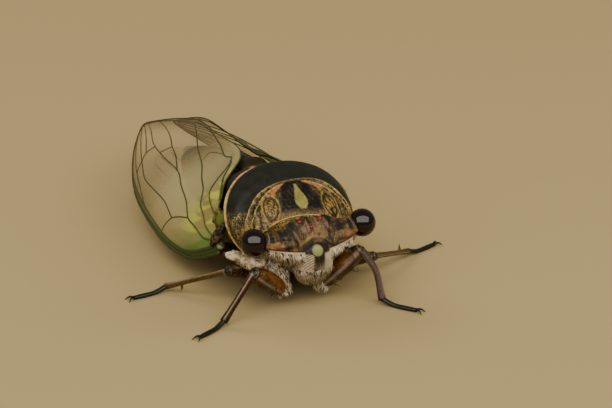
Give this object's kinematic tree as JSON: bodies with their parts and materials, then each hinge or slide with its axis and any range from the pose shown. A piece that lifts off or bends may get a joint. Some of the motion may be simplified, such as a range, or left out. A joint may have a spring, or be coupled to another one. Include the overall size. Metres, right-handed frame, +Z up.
{
  "type": "cicada",
  "caption": "Life-size cicada at rest on its feet, broad head with bulging eyes, clear veined wings folded over the body like a roof.",
  "frame": {"origin": "on the floor, under the middle of the cicada's box", "axes": "+Y runs from the head to the wing tips, +Z up, +X to the cicada's own left"},
  "size_m": [0.0346, 0.0494, 0.0122],
  "materials": {
    "head_shell": "dark brown sculpted shell with gold-brown down",
    "face_shell": "black shell with pale stripes",
    "beak": "satin",
    "eye": "glossy, very finely faceted",
    "ocellus": "glossy red bead",
    "antenna": "satin",
    "notum": "black shell with olive and rust marks and gold down",
    "underside": "shell with a pale waxy bloom",
    "abdomen": "satin black rings with pale down",
    "operculum": "matt, waxy",
    "coxa": "shell under pale hair",
    "femur": "rust brown shell, darker at the ends",
    "tibia": "dark red-brown, glossy",
    "tarsus": "dark, satin",
    "wing_membrane": "clear film, faintly smoky",
    "wing_vein": "satin green to brown",
    "hair": "fine silvery hair"
  },
  "bodies": {
    "root": {"head": "head_shell", "face": "face_shell", "beak": "beak", "eye_left": "eye", "eye_right": "eye", "antenna_left": "antenna", "antenna_right": "antenna", "pronotum": "notum", "mesonotum": "notum", "thorax": "underside", "cruciform_elevation": "notum", "abdomen": "abdomen", "abdomen_tip": "abdomen", "operculum_left": "operculum", "operculum_right": "operculum", "tymbal_cover_left": "abdomen", "tymbal_cover_right": "abdomen", "forewing_left": "wing_membrane", "forewing_right": "wing_membrane", "hindwing_left": "wing_membrane", "hindwing_right": "wing_membrane", "fore_coxa_left": "coxa", "fore_coxa_right": "coxa", "mid_coxa_left": "coxa", "mid_coxa_right": "coxa", "hind_coxa_left": "coxa", "hind_coxa_right": "coxa", "fore_femur_left": "femur", "fore_femur_right": "femur", "mid_femur_left": "femur", "mid_femur_right": "femur", "hind_femur_left": "femur", "hind_femur_right": "femur", "fore_tibia_left": "tibia", "fore_tibia_right": "tibia", "mid_tibia_left": "tibia", "mid_tibia_right": "tibia", "hind_tibia_left": "tibia", "hind_tibia_right": "tibia", "fore_tarsus_left": "tarsus", "fore_tarsus_right": "tarsus", "mid_tarsus_left": "tarsus", "mid_tarsus_right": "tarsus", "hind_tarsus_left": "tarsus", "hind_tarsus_right": "tarsus"}
  },
  "joints": []
}
